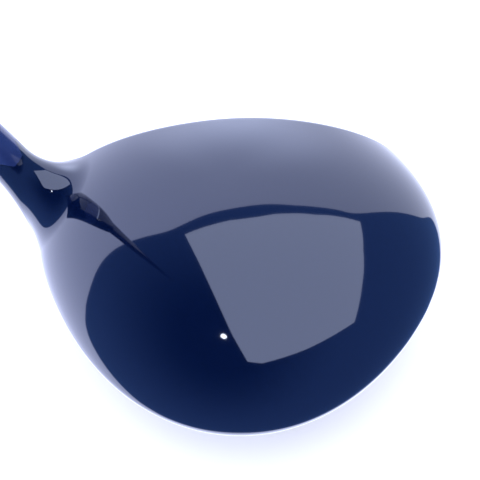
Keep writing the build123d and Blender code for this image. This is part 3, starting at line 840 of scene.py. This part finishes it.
def hosel_core():
    """Bore for the adaptor, the shelf under it and the screw port, inside the neck."""
    profile = [(CORE_BOTTOM, SCREW_PORT_RADIUS), (SHELF_BOTTOM, SCREW_PORT_RADIUS)]
    profile += [(SHELF_BOTTOM, SHELF_HOLE_RADIUS), (SHELF_TOP, SHELF_HOLE_RADIUS)]
    profile += [(SHELF_TOP, HOSEL_BORE_RADIUS), (CORE_TOP, HOSEL_BORE_RADIUS)]
    profile += [(CORE_TOP, CORE_RADIUS), (CORE_BOTTOM, CORE_RADIUS)]
    core = turned("hosel_core", profile, ON_SHAFT, 64, closed=True)
    core.data.materials.append(CAST_METAL)
    return core


def select_tab_corners(prism):
    """Select the two lower edges that run outwards from the axis."""
    activate(prism)
    bpy.ops.object.mode_set(mode="EDIT")
    bpy.ops.mesh.select_mode(type="EDGE")
    bpy.ops.mesh.select_all(action="DESELECT")
    bpy.ops.object.mode_set(mode="OBJECT")
    for edge in prism.data.edges:
        ends = [prism.data.vertices[v].co for v in edge.vertices]
        low = all(end.z < -0.9 * TAB_LENGTH * MM for end in ends)
        if low and abs(ends[0].x - ends[1].x) > MM:
            edge.select = True


def tab_prism(angle):
    """Trapezoid with two rounded corners that stands through the hosel's rim, a little above it too."""
    bpy.ops.mesh.primitive_cube_add(size=1)
    prism = bpy.context.object
    corners = read_points(prism) * MM
    low = corners[:, 2] < 0
    reach = np.where(corners[:, 0] > 0, TAB_REACH[1], TAB_REACH[0])
    half_width = np.where(low, TAB_END_HALF_WIDTH, TAB_ROOT_HALF_WIDTH + 0.2)
    height = np.where(low, -TAB_LENGTH, 0.4)
    write_points(prism, np.stack([reach, np.sign(corners[:, 1]) * half_width, height], -1))
    select_tab_corners(prism)
    bpy.ops.object.mode_set(mode="EDIT")
    bpy.ops.mesh.bevel(offset=TAB_CORNER * MM, segments=6)
    bpy.ops.object.mode_set(mode="OBJECT")
    turn = Matrix.Rotation(radians(angle), 4, "Z")
    prism.data.transform(ON_SHAFT @ Matrix.Translation((0, 0, HOSEL_TOP * MM)) @ turn)
    return prism


def hosel_rim():
    """Straight top of the hosel, notched for the adaptor's four tabs."""
    low, high = HOSEL_BORE_RADIUS, HOSEL_RADIUS
    profile = [(RIM_BOTTOM, low), (RIM_BOTTOM, high), (HOSEL_TOP, high), (HOSEL_TOP, low)]
    rim = turned("hosel_rim", profile, ON_SHAFT, 128, closed=True)
    for k in range(TAB_COUNT):
        prism = tab_prism(TAB_FIRST_ANGLE + k * 360 / TAB_COUNT)
        apply_modifier(rim, "BOOLEAN", operation="DIFFERENCE", object=prism, solver="EXACT")
        bpy.data.objects.remove(prism)
    activate(rim)
    bpy.ops.object.shade_smooth_by_angle(angle=radians(35))
    rim.data.materials.clear()
    rim.data.materials.append(LACQUER)
    return rim


# ---------------------------------------------------------------- shaft and grip

def shaft_radius(station):
    share = (station - TIP_PARALLEL_END) / (BUTT_PARALLEL_START - TIP_PARALLEL_END)
    return TIP_RADIUS + (BUTT_RADIUS - TIP_RADIUS) * min(max(share, 0), 1)


def shaft_skin():
    """Finely turned outside of the shaft, with its bore."""
    stations = [SHAFT_BOTTOM, 90.0, TIP_PARALLEL_END]
    stations += [250.0 + 150.0 * k for k in range(5)]
    stations += [BUTT_PARALLEL_START, SHAFT_TOP]
    outside = [(s, shaft_radius(s)) for s in stations]
    inside = [(SHAFT_TOP, BUTT_BORE_RADIUS), (BUTT_PARALLEL_START, BUTT_BORE_RADIUS)]
    inside += [(TIP_PARALLEL_END, TIP_BORE_RADIUS), (SHAFT_BOTTOM, TIP_BORE_RADIUS)]
    shaft = turned("shaft_skin", outside + inside, ON_SHAFT, 72, closed=True)
    shaft.data.materials.append(SHAFT_PAINT)
    return shaft


def grip_radius(station):
    """Radius of the grip's smooth outside."""
    start = GRIP_MOUTH + 1
    end = CLUB_LENGTH - GRIP_CAP_THICKNESS - GRIP_BUTT_LENGTH
    share = min((station - start) / (end - start), 1)
    return GRIP_MOUTH_RADIUS + (GRIP_BUTT_RADIUS - GRIP_MOUTH_RADIUS) * share


def grip_skin():
    """Rubber sleeve with a rounded mouth and three ring grooves at each end of its pattern."""
    top = CLUB_LENGTH - GRIP_CAP_THICKNESS
    profile = [(GRIP_MOUTH, GRIP_MOUTH_RADIUS - 0.5), (GRIP_MOUTH + 0.3, GRIP_MOUTH_RADIUS - 0.15)]
    profile.append((GRIP_MOUTH + 1, GRIP_MOUTH_RADIUS))
    for first in (GRIP_MOUTH + GRIP_GROOVES_FROM_MOUTH, top - GRIP_GROOVES_FROM_TOP):
        for k in range(3):
            for rise, depth in GRIP_GROOVE_SHAPE:
                station = first + GRIP_GROOVE_STEP * k + rise
                profile.append((station, grip_radius(station) - depth))
    profile += [(top - GRIP_BUTT_LENGTH, GRIP_BUTT_RADIUS), (top, GRIP_BUTT_RADIUS)]
    lip = GRIP_MOUTH + GRIP_MOUTH_LIP
    profile += [(s, shaft_radius(s) + TAPE_THICKNESS) for s in (top, BUTT_PARALLEL_START, lip)]
    profile += [(s, shaft_radius(s) + MOUTH_CLEARANCE) for s in (lip, GRIP_MOUTH)]
    grip = turned("grip_skin", profile, ON_SHAFT, 96, closed=True)
    grip.data.materials.append(GRIP_RUBBER)
    return grip


# ---------------------------------------------------------------- stage

def reflected_card(name, points, faces, colour, strength):
    """Card that only shows in reflections."""
    mesh = bpy.data.meshes.new(name)
    mesh.from_pydata([tuple(np.array(p) * MM) for p in points], [], faces)
    card = bpy.data.objects.new(name, mesh)
    bpy.context.scene.collection.objects.link(card)
    material = bpy.data.materials.new(name)
    material.use_nodes = True
    nodes = material.node_tree.nodes
    nodes.clear()
    values = {"Color": (*colour, 1.0), "Strength": strength}
    light = add_node(material, "ShaderNodeEmission", {}, values)
    add_node(material, "ShaderNodeOutputMaterial", {}, {"Surface": light})
    mesh.materials.append(material)
    card.visible_camera = False
    card.visible_diffuse = False
    card.visible_shadow = False
    card.visible_transmission = False
    return card


def on_dome(direction, distance):
    return np.array(DOME_CENTRE) + unit(direction) * distance


def rounded_edge(edge, steps=6):
    """Closed smooth curve through directions."""
    count = len(edge)
    points = []
    for k in range(count):
        a, b, c, d = (unit(edge[(k + shift) % count]) for shift in (-1, 0, 1, 2))
        for step in range(steps):
            t = step / steps
            straight = 2 * b + (c - a) * t
            bend = (2 * a - 5 * b + 4 * c - d) * t**2 + (3 * b - a - 3 * c + d) * t**3
            points.append(unit(0.5 * (straight + bend)))
    return points


def shade_flag(card):
    """Let the dark opening fade from its darkest direction outwards."""
    material = card.data.materials[0]
    place = add_node(material, "ShaderNodeTexCoord")
    darkest = tuple(on_dome(FLAG_DARK_DIRECTION, FLAG_DISTANCE) * MM)
    values = {0: (place, "Object"), 1: darkest}
    distance = add_node(material, "ShaderNodeVectorMath", {"operation": "DISTANCE"}, values)
    values = {"Value": (distance, "Value"), "From Min": FLAG_FADE[0], "From Max": FLAG_FADE[1]}
    fade = add_node(material, "ShaderNodeMapRange", {"interpolation_type": "SMOOTHSTEP"}, values)
    values = {"Factor": fade, 6: (*FLAG_DARK, 1.0), 7: (*FLAG_LIGHT, 1.0)}
    mix = add_node(material, "ShaderNodeMix", {"data_type": "RGBA"}, values)
    light = next(node for node in material.node_tree.nodes if node.type == "EMISSION")
    link(material, mix, 2, light, "Color")


def fan_card(name, middle, edge, distance, colour, strength):
    """Part of a dome: rings from a middle direction out to an edge of directions."""
    rings = 10
    middle = unit(middle)
    points = [on_dome(middle, distance)]
    count = len(edge)
    for ring in range(1, rings + 1):
        for direction in edge:
            end = unit(direction)
            full = np.arccos(np.clip(middle @ end, -1, 1))
            side = unit(end - middle * (middle @ end))
            angle = full * ring / rings
            points.append(on_dome(middle * cos(angle) + side * sin(angle), distance))
    faces = [(0, 1 + k, 1 + (k + 1) % count) for k in range(count)]
    for ring in range(rings - 1):
        start = 1 + ring * count
        for k in range(count):
            after = (k + 1) % count
            faces.append((start + k, start + count + k, start + count + after, start + after))
    return reflected_card(name, points, faces, colour, strength)


def light_tent():
    """White tent, brighter towards the heel, with a glowing backdrop in front of the face."""
    world = bpy.data.worlds.new("white light tent")
    world.use_nodes = True
    view = (add_node(world, "ShaderNodeTexCoord"), "Generated")
    split = add_node(world, "ShaderNodeSeparateXYZ", {}, {"Vector": view})
    values = {"Value": (split, "X"), "From Min": -1.0, "From Max": 1.0}
    side = add_node(world, "ShaderNodeMapRange", {}, values)
    values = {"Factor": side, 6: (*TENT_TOE_LIGHT, 1.0), 7: (*TENT_HEEL_LIGHT, 1.0)}
    tent = add_node(world, "ShaderNodeMix", {"data_type": "RGBA"}, values)
    values = {0: view, 1: BACKDROP_DIRECTION}
    facing = add_node(world, "ShaderNodeVectorMath", {"operation": "DOT_PRODUCT"}, values)
    values = {"Value": (facing, "Value"), "From Min": BACKDROP_EDGE}
    near = add_node(world, "ShaderNodeMapRange", {}, values)
    glow = add_node(world, "ShaderNodeMath", {"operation": "POWER"}, {0: near, 1: BACKDROP_FALLOFF})
    values = {"Factor": glow, 6: (tent, 2), 7: (*BACKDROP_LIGHT, 1.0)}
    mix = add_node(world, "ShaderNodeMix", {"data_type": "RGBA"}, values)
    link(world, mix, 2, world.node_tree.nodes["Background"], "Color")
    bpy.context.scene.world = world


def paper_floor():
    """Pale paper under the head, kept out of the lacquer's reflections."""
    bpy.ops.mesh.primitive_plane_add(size=6.0, location=(0, 0, 0))
    floor = bpy.context.object
    floor.name = "floor"
    paper = bpy.data.materials.new("white paper floor")
    paper.use_nodes = True
    shader = paper.node_tree.nodes["Principled BSDF"]
    shader.inputs["Base Color"].default_value = (0.9, 0.9, 0.9, 1)
    shader.inputs["Roughness"].default_value = 0.9
    shader.inputs["Specular IOR Level"].default_value = 0.0
    shader.inputs["Emission Color"].default_value = (1, 1, 1, 1)
    shader.inputs["Emission Strength"].default_value = 0.35
    floor.data.materials.append(paper)
    floor.visible_glossy = False


def stage():
    bpy.context.scene.view_settings.view_transform = "Standard"
    light_tent()
    paper_floor()
    opening = rounded_edge(FLAG_EDGE)
    shade_flag(fan_card("dark opening", FLAG_MIDDLE, opening, FLAG_DISTANCE, FLAG_LIGHT, 1.0))
    fan_card("window", WINDOW_MIDDLE, WINDOW_EDGE, WINDOW_DISTANCE, WINDOW_LIGHT, 1.0)
    sides = ((1, 0, 0), (0, 1, 0), (-1, 0, 0), (0, -1, 0))
    lamp = rounded_edge([unit(LAMP_DIRECTION) + LAMP_SPREAD * unit(side) for side in sides])
    fan_card("lamp", LAMP_DIRECTION, lamp, LAMP_DISTANCE, LAMP_LIGHT, LAMP_STRENGTH)


def camera():
    """Close view of the head from behind and above, with a long lens."""
    forward = Vector(CAMERA_FORWARD).normalized()
    right = Vector(CAMERA_RIGHT).normalized()
    up = right.cross(forward).normalized()
    data = bpy.data.cameras.new("camera")
    data.sensor_width = 36.0
    data.lens = CAMERA_LENS
    data.clip_start = 0.01
    data.clip_end = 20.0
    view = bpy.data.objects.new("camera", data)
    bpy.context.scene.collection.objects.link(view)
    turn = Matrix((right, up, -forward)).transposed().to_4x4()
    view.matrix_world = Matrix.Translation(Vector(CAMERA_PLACE) * MM) @ turn
    bpy.context.scene.camera = view


# ---------------------------------------------------------------- assembly

def finish_node(node, material):
    """Give a CAD node its final material."""
    piece = bpy.data.objects[node]
    piece.data.materials.clear()
    piece.data.materials.append(material)


def assemble():
    skins = head_skins()
    parts = [skins["crown_skin"], skins["skirt_skin"], skins["sole_skin"], skins["face_frame"]]
    parts.append(port_cup("rear_cup", REAR_PORT, REAR_PORT_RADIUS))
    parts.append(port_cup("front_cup", FRONT_PORT, FRONT_PORT_RADIUS))
    parts += [hosel_core(), hosel_rim()]
    for piece in parts:
        on_crown = piece.name == "crown_skin"
        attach(piece, "head")
        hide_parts("crown_shell" if on_crown else "head_body")
    shaft = shaft_skin()
    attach(shaft, "club")
    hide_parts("shaft")
    grip = grip_skin()
    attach(grip, "club")
    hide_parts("grip")
    finishes = {
        "face_insert": FACE_METAL, "sole_panel": SOLE_PANEL,
        "rear_weight": WEIGHT_STEEL, "rear_weight_gasket": PLAIN_RUBBER, "rear_weight_screw": SCREW_STEEL,
        "front_weight": WEIGHT_STEEL, "front_weight_gasket": PLAIN_RUBBER, "front_weight_screw": SCREW_STEEL,
        "shaft_sleeve": SLEEVE_METAL, "hosel_screw": SCREW_STEEL, "screw_washer": WEIGHT_STEEL,
        "screw_retainer": PLAIN_RUBBER, "ferrule_ring": BRIGHT_EDGE, "ferrule": FERRULE_PLASTIC,
        "tip_weight": BRASS, "grip_tape": TAPE_PAPER, "grip_cap": PLAIN_RUBBER,
    }
    for node, material in finishes.items():
        finish_node(node, material)


stage()
camera()
assemble()
